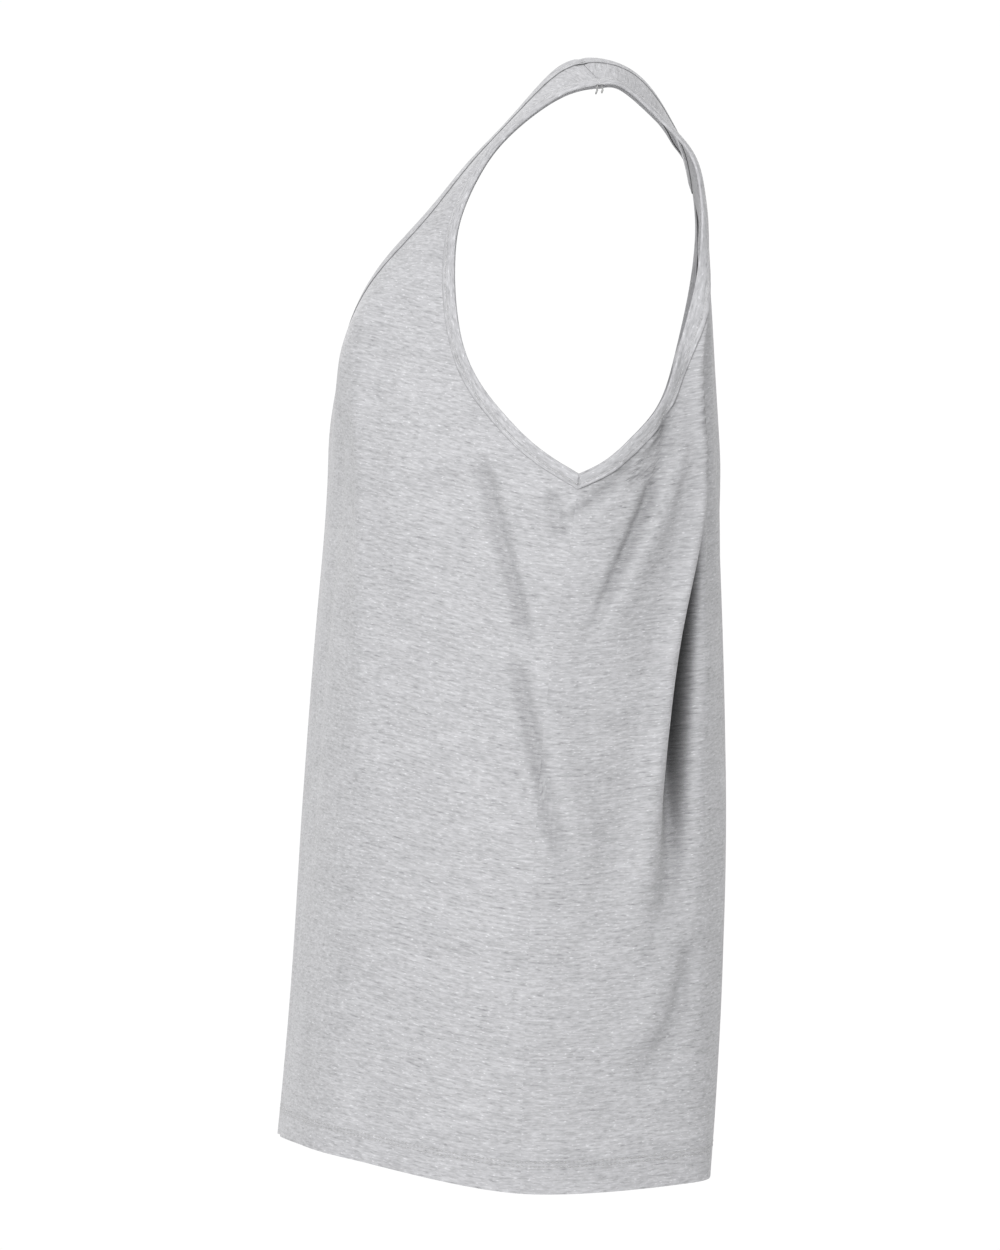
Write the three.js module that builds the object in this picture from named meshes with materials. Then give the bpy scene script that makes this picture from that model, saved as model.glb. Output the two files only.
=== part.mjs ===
// A loose jersey tank top in the shape it has when worn, with nobody inside it.
// Millimetres, +Z up. The chest faces -Y and the wearer's left is +X.
// The origin lies midway between the two shoulder straps, level with their seams.
//
// The cloth is one smooth surface, walked with two coordinates. "ring" runs round the body:
// 0 at the centre front, 1 at the left side seam, 2 at the centre back, and the same with a minus
// sign on the right. "rise" runs up the cloth: 0 at the hem, 1 at the shoulder seam.
// Each panel is a wall cut out of that surface, and each binding is a folded strip round its edge.
import * as THREE from 'three';

const WALL = 1.4; // cloth of the front and back
const HEM_DEPTH = 20; // turned-up hem, where the wall is double
const HEM_EXTRA = 1.0;
const BINDING_WIDTH = 8.5;
const BINDING_PROUD = 0.5; // a binding is folded double, so it stands out from the cloth on both sides
const BINDING_ROUND = 0.8; // how far in from its outer edge a binding turns over
const SEAM_GAP = 0.3; // pieces stay this far apart at seams
const RING_LENGTH = 265; // cloth in one quarter of the ring
const RISE_LENGTH = 760; // cloth from hem to shoulder
const UNDERARM = 0.566; // rise of the underarm point of the panels, under the binding
const FRONT_NECK = 0.655; // rise of the lowest point of the front panel's neckline
const BACK_NECK = 0.818;

// The side line of the body: the side seam up to the underarm, and the line it would follow above.
const SIDE = table(['rise', 'x', 'y', 'z'], [
  [0.00, 203, -48, -740],
  [0.12, 200, -45, -640],
  [0.28, 196, -38, -507],
  [0.44, 191, -25, -372],
  [0.58, 187, -9, -265],
  [0.66, 187, -7, -206],
  [0.75, 186, -1, -140],
  [0.85, 187, 22, -73],
  [1.00, 188, 30, -34],
]);

// Sections of the front and back. Each passes through the centre line, a point in line with the
// neck edge of the strap and a point in line with its outer edge, and ends on the side line.
const SECTION = ['rise', 'centreY', 'centreZ', 'neckX', 'neckY', 'neckZ', 'tipX', 'tipY', 'tipZ'];
const FRONT = table(SECTION, [
  [0.00, -210, -706, 92, -198, -709, 158, -162, -718],
  [0.12, -201, -611, 91, -189, -618, 156, -151, -628],
  [0.28, -191, -485, 89, -180, -490, 152, -143, -498],
  [0.44, -181, -358, 87, -170, -362, 148, -133, -366],
  [0.58, -173, -250, 86, -162, -252, 143, -124, -258],
  [0.62, -171, -219, 85, -164, -221, 138, -118, -227],
  [0.66, -164, -188, 85, -163, -189, 132, -108, -196],
  [0.70, -153, -156, 84, -152, -158, 128, -98, -163],
  [0.75, -139, -111, 82, -126, -120, 125, -90, -127],
  [0.80, -115, -81, 82, -103, -89, 123, -84, -98],
  [0.85, -91, -49, 82, -81, -60, 121, -71, -68],
  [0.90, -65, -21, 84, -57, -34, 122, -51, -41],
  [0.95, -59, 5, 85, -34, -7, 126, -17, -16],
  [1.00, -38, 37, 85, -10, 9, 130, 8, -10],
]);
const BACK = table(SECTION, [
  [0.95, 18, 8, 84, 28, -1, 128, 23, -14],
  [0.90, 44, -30, 80, 53, -35, 123, 48, -37],
  [0.85, 61, -62, 78, 65, -59, 120, 65, -59],
  [0.80, 70, -90, 79, 71, -87, 120, 70, -86],
  [0.75, 76, -122, 82, 76, -120, 122, 70, -115],
  [0.66, 81, -188, 85, 80, -189, 135, 62, -191],
  [0.58, 85, -252, 86, 82, -255, 143, 68, -260],
  [0.44, 87, -360, 87, 85, -364, 148, 60, -368],
  [0.28, 88, -489, 89, 87, -493, 152, 60, -501],
  [0.12, 84, -618, 91, 83, -624, 156, 64, -632],
  [0.00, 80, -715, 92, 75, -726, 158, 66, -734],
]);

// Where each panel is cut away for the arms, as the share of the ring that is left at each rise.
const ARMHOLE = ['rise', 'ring'];
const ARMHOLE_FRONT = table(ARMHOLE, [
  [0.566, 1.0], [0.58, 0.941], [0.60, 0.880], [0.62, 0.832], [0.66, 0.742], [0.70, 0.672],
  [0.75, 0.618], [0.80, 0.594], [0.85, 0.584], [0.92, 0.580], [1.00, 0.592],
]);
const ARMHOLE_BACK = table(ARMHOLE, [
  [0.566, 1.0], [0.58, 0.925], [0.60, 0.85], [0.62, 0.770], [0.66, 0.672], [0.70, 0.622],
  [0.75, 0.592], [0.80, 0.580], [0.85, 0.575], [0.92, 0.577], [1.00, 0.592],
]);
const NECK_RING = 0.392; // where the neck seam meets the shoulder seam
const NECK_DROP_POWER = 2.4; // a scoop: nearly level at the bottom, nearly upright at the strap
const NECK_SPREAD_POWER = 2.0;

// The largest folds. Each runs from one point through another to a third, as (ring, rise) pairs.
// A height above 0 stands proud of the cloth and one below 0 is a trough; sizes in millimetres.
const FOLDS = table(['ring1', 'rise1', 'ring2', 'rise2', 'ring3', 'rise3', 'height', 'width'], [
  [1.43, 0.76, 1.345, 0.52, 1.185, 0.20, 9, 14],
  [1.53, 0.77, 1.44, 0.53, 1.27, 0.23, -17, 15],
  [1.24, 0.64, 1.11, 0.54, 1.06, 0.41, -5, 12],
  [0.80, 0.63, 0.93, 0.46, 1.12, 0.22, -5, 13],
  [0.34, 0.74, 0.50, 0.56, 0.64, 0.30, 3, 15],
  [1.35, 0.20, 1.29, 0.115, 1.17, 0.06, -5, 13],
  [-1.43, 0.69, -1.35, 0.48, -1.17, 0.17, 9, 14],
  [-1.54, 0.67, -1.45, 0.47, -1.26, 0.18, -15, 16],
  [-1.25, 0.63, -1.10, 0.54, -1.05, 0.37, -5, 13],
  [-0.76, 0.64, -0.93, 0.52, -1.04, 0.28, -5, 15],
  [-0.37, 0.73, -0.52, 0.54, -0.62, 0.26, 3, 16],
  [-1.30, 0.20, -1.27, 0.12, -1.13, 0.05, -4, 14],
]);
const FOLD_STEPS = 14;
const FOLD_START = 0.3; // share of its length over which a fold deepens
const FOLD_FADE = 0.35; // and over which it dies away

function table(names, rows) {
  return rows.map((row) => Object.fromEntries(names.map((name, i) => [name, row[i]])));
}

// A natural cubic spline through (xs, ys).
function spline(xs, ys) {
  const n = xs.length;
  const bend = new Array(n).fill(0);
  const carry = new Array(n).fill(0);
  for (let i = 1; i < n - 1; i++) {
    const span = xs[i + 1] - xs[i - 1];
    const share = (xs[i] - xs[i - 1]) / span;
    const p = share * bend[i - 1] + 2;
    const rise = (ys[i + 1] - ys[i]) / (xs[i + 1] - xs[i]) - (ys[i] - ys[i - 1]) / (xs[i] - xs[i - 1]);
    bend[i] = (share - 1) / p;
    carry[i] = ((6 * rise) / span - share * carry[i - 1]) / p;
  }
  for (let i = n - 2; i >= 0; i--) bend[i] = bend[i] * bend[i + 1] + carry[i];
  return (x) => {
    let k = 0;
    while (k < n - 2 && x > xs[k + 1]) k++;
    const h = xs[k + 1] - xs[k];
    const a = (xs[k + 1] - x) / h;
    const b = (x - xs[k]) / h;
    return a * ys[k] + b * ys[k + 1] + (((a ** 3 - a) * bend[k] + (b ** 3 - b) * bend[k + 1]) * h * h) / 6;
  };
}

// A column of the surface, from the front hem (0) over the shoulder (1) to the back hem (2).
const LEVELS = [...FRONT.map((row) => [row.rise, row]), ...BACK.map((row) => [2 - row.rise, row])];
const along = (read) => spline(LEVELS.map(([t]) => t), LEVELS.map(([, row]) => read(row)));
const sideOf = (name) => spline(SIDE.map((row) => row.rise), SIDE.map((row) => row[name]));
const column = (x, y, z) => (t) => new THREE.Vector3(x(t), y(t), z(t));
const centreLine = column(() => 0, along((r) => r.centreY), along((r) => r.centreZ));
const neckLine = column(along((r) => r.neckX), along((r) => r.neckY), along((r) => r.neckZ));
const tipLine = column(along((r) => r.tipX), along((r) => r.tipY), along((r) => r.tipZ));
const sideColumn = column(sideOf('x'), sideOf('y'), sideOf('z'));
const sideLine = (t) => sideColumn(t > 1 ? 2 - t : t);

const SPANS = 3; // stretches of a section: centre to neck line, to tip line, to side line

// A point of the smooth, unfolded surface on the wearer's left.
function drape(ring, rise) {
  const back = ring > 1;
  const t = back ? 2 - rise : rise;
  const across = (back ? 2 - ring : ring) * SPANS;
  const points = [neckLine(t), centreLine(t), neckLine(t), tipLine(t), sideLine(t), tipLine(2 - t)];
  points[0].x *= -1;
  const k = Math.min(Math.floor(across), SPANS - 1);
  const f = across - k;
  const [before, from, to, after] = points.slice(k, k + 4);
  const point = new THREE.Vector3();
  const weights = [
    -f + 2 * f ** 2 - f ** 3,
    2 - 5 * f ** 2 + 3 * f ** 3,
    f + 4 * f ** 2 - 3 * f ** 3,
    f ** 3 - f ** 2,
  ];
  [before, from, to, after].forEach((p, i) => point.addScaledVector(p, weights[i] / 2));
  return point;
}

const step01 = (x) => {
  const t = Math.min(Math.max(x, 0), 1);
  return t * t * (3 - 2 * t);
};

// Each fold's line, laid out flat in millimetres of cloth.
const FOLD_LINES = FOLDS.map((fold) => {
  const curve = new THREE.QuadraticBezierCurve(
    new THREE.Vector2(fold.ring1 * RING_LENGTH, fold.rise1 * RISE_LENGTH),
    new THREE.Vector2(fold.ring2 * RING_LENGTH, fold.rise2 * RISE_LENGTH),
    new THREE.Vector2(fold.ring3 * RING_LENGTH, fold.rise3 * RISE_LENGTH),
  );
  return { ...fold, points: curve.getPoints(FOLD_STEPS) };
});

// How far the folds move the cloth out at a place.
function foldHeight(ring, rise) {
  const here = new THREE.Vector2(ring * RING_LENGTH, rise * RISE_LENGTH);
  let sum = 0;
  for (const { points, height, width } of FOLD_LINES) {
    let nearest = Infinity;
    let where = 0;
    for (let i = 0; i < FOLD_STEPS; i++) {
      const run = points[i + 1].clone().sub(points[i]);
      const part = Math.min(Math.max(here.clone().sub(points[i]).dot(run) / run.lengthSq(), 0), 1);
      const gap = here.distanceTo(points[i].clone().addScaledVector(run, part));
      if (gap < nearest) {
        nearest = gap;
        where = (i + part) / FOLD_STEPS;
      }
    }
    const ends = step01(where / FOLD_START) * step01((1 - where) / FOLD_FADE);
    sum += height * ends * Math.exp(-((nearest / width) ** 2));
  }
  return sum;
}

const SMALL = 0.002; // step in ring and rise for a surface direction

// The same place with its ring between -2 and 2 and its rise up to 1.
function settle(ring, rise) {
  if (rise > 1) return settle(Math.sign(ring || 1) * (2 - Math.abs(ring)), 2 - rise);
  if (ring > 2) return [ring - 4, rise];
  if (ring < -2) return [ring + 4, rise];
  return [ring, rise];
}

function smooth(ring, rise) {
  const [r, v] = settle(ring, rise);
  const point = drape(Math.abs(r), v);
  if (r < 0) point.x *= -1;
  return point;
}

function normalOf(surface, ring, rise) {
  const round = surface(ring + SMALL, rise).sub(surface(ring - SMALL, rise));
  const up = surface(ring, rise + SMALL).sub(surface(ring, rise - SMALL));
  return round.cross(up).normalize();
}

function folded(ring, rise) {
  const [r, v] = settle(ring, rise);
  const height = foldHeight(r, v);
  return smooth(ring, rise).addScaledVector(normalOf(smooth, ring, rise), height);
}

// A point at a distance out from the face of the cloth.
const lifted = (ring, rise, out) => folded(ring, rise).addScaledVector(normalOf(folded, ring, rise), out);

const cutAt = (rows) => spline(rows.map((row) => row.rise), rows.map((row) => row.ring));
const armFront = cutAt(ARMHOLE_FRONT);
const armBack = cutAt(ARMHOLE_BACK);

// The inner and outer ends of a panel's row, as shares of its quarter of the ring.
function neckCut(lowest, rise) {
  if (rise <= lowest) return 0;
  const drop = (1 - rise) / (1 - lowest);
  return NECK_RING * (1 - drop ** NECK_DROP_POWER) ** (1 / NECK_SPREAD_POWER);
}
const armCut = (cut, rise) => (rise <= UNDERARM ? 1 : cut(rise));

const CHEST_CLOSING = 1.25; // powers above 1 bring the first rows of a stretch closer together
const NECK_CLOSING = 1.6;

// The rises of a panel's rows: even up to the underarm, then closer, and round the neckline's curve.
function panelRises(lowest, bodyRows, chestRows, neckRows) {
  const rises = [0, HEM_DEPTH / RISE_LENGTH];
  for (let i = 1; i <= bodyRows; i++) rises.push(rises[1] + ((UNDERARM - rises[1]) * i) / bodyRows);
  for (let i = 1; i <= chestRows; i++) {
    rises.push(UNDERARM + (lowest - UNDERARM) * (i / chestRows) ** CHEST_CLOSING);
  }
  for (let i = 1; i <= neckRows; i++) rises.push(lowest + (1 - lowest) * (i / neckRows) ** NECK_CLOSING);
  return rises;
}
const FRONT_RISES = panelRises(FRONT_NECK, 13, 6, 14);
const BACK_RISES = panelRises(BACK_NECK, 16, 9, 9);

// A closed wall from rows of corners on its face and the same corners on its inside.
function wallGeometry(corners, quads) {
  const position = corners.flatMap(({ face, inside }) => [...face.toArray(), ...inside.toArray()]);
  const index = [];
  const edges = new Map();
  const key = (a, b) => `${a},${b}`;
  for (const quad of quads) {
    for (const [a, b, c] of [[quad[0], quad[1], quad[2]], [quad[0], quad[2], quad[3]]]) {
      index.push(2 * a, 2 * b, 2 * c, 2 * a + 1, 2 * c + 1, 2 * b + 1);
      for (const [p, q] of [[a, b], [b, c], [c, a]]) {
        if (!edges.delete(key(q, p))) edges.set(key(p, q), [p, q]);
      }
    }
  }
  for (const [p, q] of edges.values()) index.push(2 * p, 2 * p + 1, 2 * q + 1, 2 * p, 2 * q + 1, 2 * q);
  const geometry = new THREE.BufferGeometry();
  geometry.setAttribute('position', new THREE.Float32BufferAttribute(position, 3));
  geometry.setIndex(index);
  geometry.computeVertexNormals();
  return geometry;
}

// One panel, front or back. "spread" says where its columns fall between the row's two ends.
function panel({ back, lowest, cut, spread, rises }) {
  const corners = [];
  const rows = rises.map((rise) => {
    const inner = neckCut(lowest, rise);
    const outer = armCut(cut, rise) - SEAM_GAP / 2 / RING_LENGTH;
    const top = Math.min(rise, 1 - SEAM_GAP / 2 / RISE_LENGTH);
    const thick = rise * RISE_LENGTH > HEM_DEPTH - 1 ? WALL : WALL + HEM_EXTRA;
    const corner = (ring) => {
      corners.push({ face: lifted(ring, top, 0), inside: lifted(ring, top, -thick) });
      return corners.length - 1;
    };
    const side = (sign) => spread.map((share) => {
      const across = share + inner * (1 - share) ** 2 - (1 - outer) * share ** 2;
      return sign * (back ? 2 - across : across);
    });
    const left = side(1).map(corner);
    const right = side(-1).map((ring, i) => (i === 0 && inner === 0 ? left[0] : corner(ring)));
    return { left, right };
  });
  const quads = [];
  for (let i = 0; i + 1 < rows.length; i++) {
    for (let j = 0; j + 1 < spread.length; j++) {
      for (const name of ['left', 'right']) {
        const [low, high] = [rows[i][name], rows[i + 1][name]];
        const quad = [low[j], low[j + 1], high[j + 1], high[j]];
        quads.push((name === 'left') === !back ? quad : quad.reverse());
      }
    }
  }
  return wallGeometry(corners, quads);
}

const even = (n) => Array.from({ length: n + 1 }, (_, i) => i / n);
// The back's columns are closest together where its deep folds run.
const BACK_COLUMNS = 24;
const FOLD_SHARE = 0.6;
const CLOSING = 0.55;
const wave = (u) => u - (CLOSING / (2 * Math.PI)) * Math.sin(2 * Math.PI * (u - FOLD_SHARE + 1));
const backSpread = even(BACK_COLUMNS).map((u) => (wave(u) - wave(0)) / (wave(1) - wave(0)));

// A binding: a folded strip that carries the cloth on past a panel's edge. "stops" are (ring, rise)
// places along that edge, in a closed loop, and "inward" is +1 or -1, for the side the cloth lies on.
function binding(stops, inward) {
  const count = stops.length;
  const places = stops.map((stop) => smooth(...stop));
  const section = stops.map(([ring, rise], i) => {
    const before = places[i].clone().sub(places[(i + count - 1) % count]).normalize();
    const after = places[(i + 1) % count].clone().sub(places[i]).normalize();
    const mitre = Math.sqrt(2 / (1 + before.dot(after)));
    const run = before.add(after).normalize();
    const away = normalOf(smooth, ring, rise).cross(run).multiplyScalar(-inward).normalize();
    const round = smooth(ring + SMALL, rise).sub(smooth(ring - SMALL, rise)).divideScalar(2 * SMALL);
    const up = smooth(ring, rise + SMALL).sub(smooth(ring, rise - SMALL)).divideScalar(2 * SMALL);
    // How far to step in ring and in rise for each millimetre away from the edge.
    const det = round.dot(round) * up.dot(up) - round.dot(up) ** 2;
    const dRing = (mitre * (away.dot(round) * up.dot(up) - away.dot(up) * round.dot(up))) / det;
    const dRise = (mitre * (away.dot(up) * round.dot(round) - away.dot(round) * round.dot(up))) / det;
    const far = smooth(ring + dRing * BINDING_WIDTH, rise + dRise * BINDING_WIDTH);
    const stretch = far.distanceTo(places[i]) / (BINDING_WIDTH * mitre);
    const at = (depth, out) => lifted(ring + (dRing * depth) / stretch, rise + (dRise * depth) / stretch, out);
    const turn = BINDING_WIDTH - BINDING_ROUND;
    const inside = -WALL - BINDING_PROUD;
    return [
      at(SEAM_GAP, BINDING_PROUD), at(SEAM_GAP, inside), at(turn, inside),
      at(BINDING_WIDTH, inside + BINDING_ROUND), at(BINDING_WIDTH, BINDING_PROUD - BINDING_ROUND),
      at(turn, BINDING_PROUD),
    ];
  });
  const around = section[0].length;
  const index = [];
  for (let i = 0; i < count; i++) {
    for (let j = 0; j < around; j++) {
      const corner = (a, b) => ((i + a) % count) * around + ((j + b) % around);
      const [p, q, r, s] = [corner(0, 0), corner(1, 0), corner(1, 1), corner(0, 1)];
      index.push(...(inward > 0 ? [p, q, r, p, r, s] : [p, r, q, p, s, r]));
    }
  }
  const geometry = new THREE.BufferGeometry();
  geometry.setAttribute('position', new THREE.Float32BufferAttribute(section.flat().flatMap((p) => p.toArray()), 3));
  geometry.setIndex(index);
  geometry.computeVertexNormals();
  return geometry;
}

// The neck edge, from the centre front up the left strap, down to the centre back and round the right.
function neckStops() {
  const front = FRONT_RISES.filter((rise) => rise >= FRONT_NECK).map((rise) => [neckCut(FRONT_NECK, rise), rise]);
  const back = BACK_RISES.filter((rise) => rise >= BACK_NECK).map((rise) => [2 - neckCut(BACK_NECK, rise), rise]);
  const left = [...front, ...back.reverse().slice(1)];
  const right = left.slice(1, -1).reverse().map(([ring, rise]) => [-ring, rise]);
  return [...left, ...right];
}

// An armhole's edge, from the underarm up its front, over the shoulder and down its back.
function armholeStops(sign) {
  const above = (rises) => rises.filter((rise) => rise >= UNDERARM);
  const front = above(FRONT_RISES).map((rise) => [sign * armFront(rise), rise]);
  const back = above(BACK_RISES).slice(1, -1).reverse().map((rise) => [sign * (2 - armBack(rise)), rise]);
  return [...front, ...back];
}

const jersey = () => new THREE.MeshStandardMaterial({ color: 0xc6c6c9, roughness: 0.95, metalness: 0 });

function piece(name, geometry) {
  const mesh = new THREE.Mesh(geometry, jersey());
  mesh.name = name;
  return mesh;
}

const tankTop = new THREE.Group();
tankTop.add(
  piece('front', panel({
    back: false, lowest: FRONT_NECK, cut: armFront, spread: even(12), rises: FRONT_RISES,
  })),
  piece('back', panel({
    back: true, lowest: BACK_NECK, cut: armBack, spread: backSpread, rises: BACK_RISES,
  })),
  piece('neck_binding', binding(neckStops(), -1)),
  piece('armhole_binding_left', binding(armholeStops(1), 1)),
  piece('armhole_binding_right', binding(armholeStops(-1), -1)),
);
export default tankTop;
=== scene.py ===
# A loose tank top in light heather-grey jersey, in the shape it has when worn, with nobody inside.
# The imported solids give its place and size. Here each panel is a thin shell on the same form with
# finer folds, and each binding is a rounded, stitched strip. Lengths in the tables are millimetres
# in the frame's own axes: +Z up, the chest to -Y, the wearer's left to +X.
import math

import bpy
import numpy as np
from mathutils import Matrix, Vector


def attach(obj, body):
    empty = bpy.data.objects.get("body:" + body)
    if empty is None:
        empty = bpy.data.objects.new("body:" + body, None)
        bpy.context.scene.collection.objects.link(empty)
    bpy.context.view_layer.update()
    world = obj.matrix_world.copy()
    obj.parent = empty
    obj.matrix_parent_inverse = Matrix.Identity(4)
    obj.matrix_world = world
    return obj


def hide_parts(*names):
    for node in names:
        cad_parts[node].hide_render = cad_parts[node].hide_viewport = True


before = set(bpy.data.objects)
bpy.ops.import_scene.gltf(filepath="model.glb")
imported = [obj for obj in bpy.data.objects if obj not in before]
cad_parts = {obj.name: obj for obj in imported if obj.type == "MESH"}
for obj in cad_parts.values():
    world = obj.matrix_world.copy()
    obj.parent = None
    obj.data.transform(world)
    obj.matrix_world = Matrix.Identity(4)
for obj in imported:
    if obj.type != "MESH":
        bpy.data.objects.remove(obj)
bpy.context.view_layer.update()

MM = 0.001

# The cloth is one surface walked with two coordinates. "ring" runs round the body: 0 at the centre
# front, 1 at the left side seam, 2 at the centre back, minus on the right. "rise" runs up the cloth:
# 0 at the hem, 1 at the shoulder seam.
CLOTH = 0.9
HEM_DEPTH = 21
HEM_EXTRA = 0.9
BINDING_WIDTH = 8.5
BINDING_PROUD = 0.75
SEAM_GAP = 0.3
RING_LENGTH = 265
RISE_LENGTH = 760
UNDERARM = 0.566
FRONT_NECK = 0.655
BACK_NECK = 0.818
NECK_RING = 0.392
NECK_DROP_POWER = 2.4
NECK_SPREAD_POWER = 2.0

SIDE = np.array([  # rise, x, y, z
    (0.00, 203, -48, -740), (0.12, 200, -45, -640), (0.28, 196, -38, -507),
    (0.44, 191, -25, -372), (0.58, 187, -9, -265), (0.66, 187, -7, -206),
    (0.75, 186, -1, -140), (0.85, 187, 22, -73), (1.00, 188, 30, -34),
])
FRONT = np.array([  # rise, centre y z, neck line x y z, tip line x y z
    (0.00, -210, -706, 92, -198, -709, 158, -162, -718),
    (0.12, -201, -611, 91, -189, -618, 156, -151, -628),
    (0.28, -191, -485, 89, -180, -490, 152, -143, -498),
    (0.44, -181, -358, 87, -170, -362, 148, -133, -366),
    (0.58, -173, -250, 86, -162, -252, 143, -124, -258),
    (0.62, -171, -219, 85, -164, -221, 138, -118, -227),
    (0.66, -164, -188, 85, -163, -189, 132, -108, -196),
    (0.70, -153, -156, 84, -152, -158, 128, -98, -163),
    (0.75, -139, -111, 82, -126, -120, 125, -90, -127),
    (0.80, -115, -81, 82, -103, -89, 123, -84, -98),
    (0.85, -91, -49, 82, -81, -60, 121, -71, -68),
    (0.90, -65, -21, 84, -57, -34, 122, -51, -41),
    (0.95, -59, 5, 85, -34, -7, 126, -17, -16),
    (1.00, -38, 37, 85, -10, 9, 130, 8, -10),
])
BACK = np.array([  # the same columns, from the shoulder down
    (0.95, 18, 8, 84, 28, -1, 128, 23, -14),
    (0.90, 44, -30, 80, 53, -35, 123, 48, -37),
    (0.85, 61, -62, 78, 65, -59, 120, 65, -59),
    (0.80, 70, -90, 79, 71, -87, 120, 70, -86),
    (0.75, 76, -122, 82, 76, -120, 122, 70, -115),
    (0.66, 81, -188, 85, 80, -189, 135, 62, -191),
    (0.58, 85, -252, 86, 82, -255, 143, 68, -260),
    (0.44, 87, -360, 87, 85, -364, 148, 60, -368),
    (0.28, 88, -489, 89, 87, -493, 152, 60, -501),
    (0.12, 84, -618, 91, 83, -624, 156, 64, -632),
    (0.00, 80, -715, 92, 75, -726, 158, 66, -734),
])
ARMHOLE_FRONT = np.array([  # rise, ring
    (0.566, 1.0), (0.58, 0.941), (0.60, 0.880), (0.62, 0.832), (0.66, 0.742), (0.70, 0.672),
    (0.75, 0.618), (0.80, 0.594), (0.85, 0.584), (0.92, 0.580), (1.00, 0.592),
])
ARMHOLE_BACK = np.array([
    (0.566, 1.0), (0.58, 0.925), (0.60, 0.85), (0.62, 0.770), (0.66, 0.672), (0.70, 0.622),
    (0.75, 0.592), (0.80, 0.580), (0.85, 0.575), (0.92, 0.577), (1.00, 0.592),
])

# Folds: three (ring, rise) points, then height and width in millimetres. Below 0 is a trough.
FOLDS = [
    # Left side: the deep fold behind the arm, and the creases that fan out from the underarm.
    (1.40, 0.76, 1.325, 0.52, 1.19, 0.12, 9.5, 10),
    (1.50, 0.71, 1.43, 0.53, 1.25, 0.13, -21, 14),
    (1.61, 0.80, 1.57, 0.62, 1.49, 0.38, -6, 20),
    (0.815, 0.595, 0.875, 0.505, 0.985, 0.39, -4, 3.8),
    (0.85, 0.62, 0.915, 0.51, 1.03, 0.39, 3.5, 10),
    (0.905, 0.44, 1.02, 0.315, 1.095, 0.215, -4.2, 4.6),
    (0.95, 0.44, 1.07, 0.32, 1.16, 0.20, 3.5, 10),
    (1.262, 0.637, 1.15, 0.548, 1.06, 0.405, -4.8, 4.8),
    (1.30, 0.61, 1.195, 0.55, 1.11, 0.41, 3.5, 9),
    (1.20, 0.602, 1.163, 0.585, 1.135, 0.56, -3, 3.6),
    (1.15, 0.595, 1.055, 0.558, 0.955, 0.527, -3.2, 4),
    (0.945, 0.562, 0.96, 0.545, 0.99, 0.510, -3, 4),
    (1.355, 0.195, 1.30, 0.112, 1.18, 0.062, -4, 8.5),
    (1.31, 0.22, 1.26, 0.135, 1.14, 0.09, 3, 10),
    (1.19, 0.34, 1.13, 0.26, 1.10, 0.14, -2.5, 14),
    # Right side: the same kinds of fold, none in quite the same place or size.
    (-1.43, 0.69, -1.35, 0.48, -1.17, 0.17, 9.5, 11),
    (-1.53, 0.71, -1.45, 0.47, -1.26, 0.16, -15, 15),
    (-1.42, 0.91, -1.41, 0.80, -1.41, 0.67, -4.4, 20),
    (-0.79, 0.61, -0.89, 0.52, -1.00, 0.36, -4, 5.5),
    (-0.86, 0.61, -0.97, 0.51, -1.06, 0.38, 2.5, 12),
    (-0.95, 0.40, -1.04, 0.27, -1.17, 0.16, -4, 6),
    (-1.26, 0.62, -1.12, 0.55, -1.05, 0.37, -4.5, 5),
    (-1.13, 0.595, -1.02, 0.56, -0.93, 0.515, -3.4, 5),
    (-1.34, 0.20, -1.28, 0.12, -1.13, 0.05, -4, 6),
    # Front: soft folds that hang from the straps and widen to the hem.
    (0.34, 0.76, 0.50, 0.56, 0.64, 0.28, 3.6, 18),
    (0.46, 0.70, 0.60, 0.52, 0.72, 0.26, -1.8, 16),
    (-0.36, 0.75, -0.50, 0.55, -0.61, 0.22, 3.6, 17),
    (-0.46, 0.70, -0.60, 0.50, -0.70, 0.24, -2.2, 15),
    (0.24, 0.66, 0.21, 0.45, 0.26, 0.10, -3, 18),
    (-0.10, 0.64, -0.18, 0.44, -0.13, 0.02, 3.5, 22),
    (0.06, 0.42, 0.08, 0.20, 0.04, -0.15, -3.5, 20),
    (-0.38, 0.36, -0.42, 0.16, -0.40, -0.12, -3, 18),
    # Back: long soft folds between the shoulder blades and the hem.
    (1.76, 0.78, 1.82, 0.52, 1.85, 0.12, -3, 20),
    (-1.78, 0.76, -1.84, 0.44, -1.80, 0.02, -4, 24),
    (1.93, 0.58, 1.90, 0.34, 1.94, 0.06, -3, 26),
    (1.60, 0.34, 1.58, 0.16, 1.60, -0.14, 3, 20),
    (-1.62, 0.26, -1.58, 0.10, -1.60, -0.16, -2.5, 18),
    (-1.98, 0.70, -1.95, 0.52, -1.99, 0.36, -2, 16),
]
RIGHT_DROP = 3  # the right side hangs this much lower, below the straps
DROP_TOP, DROP_SPAN = 0.8, 0.15  # the rise where that starts, and how much further down it is whole
SEAM_DIP, SEAM_WIDTH = 0.8, 1.5  # the shoulder seams lie in a narrow crease
FOLD_STEPS = 24  # straight steps along each fold
FOLD_START = 0.15  # the share of its length over which a fold grows
FOLD_FADE = 0.35  # the share over which it fades


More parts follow.
